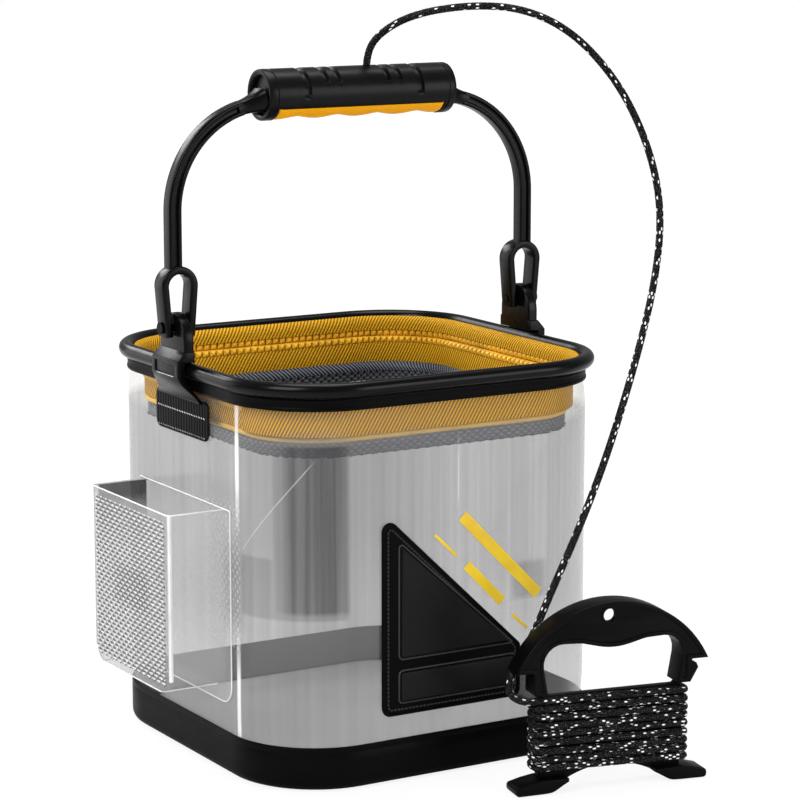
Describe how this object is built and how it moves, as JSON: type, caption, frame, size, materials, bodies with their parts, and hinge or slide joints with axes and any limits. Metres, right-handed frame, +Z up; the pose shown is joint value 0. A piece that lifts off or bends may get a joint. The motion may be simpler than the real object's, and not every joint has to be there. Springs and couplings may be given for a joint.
{
  "type": "collapsible live bait bucket",
  "caption": "Square collapsible bucket of clear film with a zipped net lid, a folding bail with a finger grip, a side pocket and a lowering rope on a winder.",
  "frame": {"origin": "centre of the base's underside, on the ground", "axes": "+X to the right along the front face, +Y to the back, +Z up"},
  "size_m": [0.2675, 0.2754, 0.3793],
  "materials": {
    "black_plastic": "satin moulded plastic",
    "black_gloss": "glossy vinyl",
    "black_satin": "satin moulded plastic",
    "black_webbing": "woven webbing",
    "black_foam": "foam sheet",
    "grey_sheet": "soft vinyl",
    "clear_film": "clear grey film",
    "yellow_cloth": "ribbed coated cloth",
    "orange_piping": "piping",
    "grey_net": "square mesh",
    "zip_teeth": "moulded zip teeth",
    "zip_metal": "black painted metal",
    "steel": "plain steel",
    "yellow_rubber": "soft rubber",
    "rope": "braided cord with pale flecks",
    "white_ink": "raised pale net"
  },
  "bodies": {
    "upper": {"film_wall": "clear_film", "rim_bead": "black_gloss", "rim_rod": "steel", "rim_band": "black_gloss", "collar": "yellow_cloth", "zip_row_upper": "zip_teeth", "apron_band": "yellow_cloth", "apron_piping": "orange_piping", "apron_net_skirt": "grey_net", "apron_net": "grey_net", "bracket_left": "black_plastic", "bracket_right": "black_plastic", "pivot_pin_left": "steel", "pivot_pin_right": "steel", "webbing_patch_left": "black_webbing", "webbing_patch_right": "black_webbing", "rope_free": "rope", "rope_winding": "rope", "winder": "black_satin", "pocket_body": "clear_film", "pocket_net": "white_ink", "front_patch": "black_foam", "patch_triangle": "black_foam", "patch_strip": "black_foam"},
    "base": {"base_tray": "black_plastic", "floor_sheet": "grey_sheet"},
    "bail": {"bail_arm_left": "black_plastic", "bail_arm_right": "black_plastic", "grip_core": "black_plastic", "grip_shell": "black_plastic", "grip_pad": "yellow_rubber", "rope_knot": "rope"},
    "lid": {"zip_row_lower": "zip_teeth", "lid_band": "yellow_cloth", "lid_piping": "orange_piping", "lid_net_skirt": "grey_net", "lid_net": "grey_net"},
    "slider": {"zip_slider": "zip_metal"},
    "pull": {"zip_pull": "zip_metal"}
  },
  "joints": [
    {"name": "collapse", "type": "slide", "parent": "upper", "child": "base", "axis": [0, 0, 1], "range_m": [0, 0.12], "deforming": ["film_wall", "pocket_body", "pocket_net", "front_patch", "patch_triangle", "patch_strip"]},
    {"name": "bail_swing", "type": "hinge", "parent": "upper", "child": "bail", "pos_m": [0, 0, 0.2205], "axis": [1, 0, 0], "range_deg": [-90, 90], "deforming": ["rope_free"]},
    {"name": "lid_open", "type": "hinge", "parent": "upper", "child": "lid", "pos_m": [0, -0.054, 0.19], "axis": [1, 0, 0], "range_deg": [0, 55]},
    {"name": "zip_slide", "type": "slide", "parent": "lid", "child": "slider", "axis": [0, 1, 0], "range_m": [0, 0.09]},
    {"name": "pull_swing", "type": "hinge", "parent": "slider", "child": "pull", "pos_m": [-0.0857, -0.0474, 0.1885], "axis": [0, -1, 0], "range_deg": [0, 100]}
  ]
}
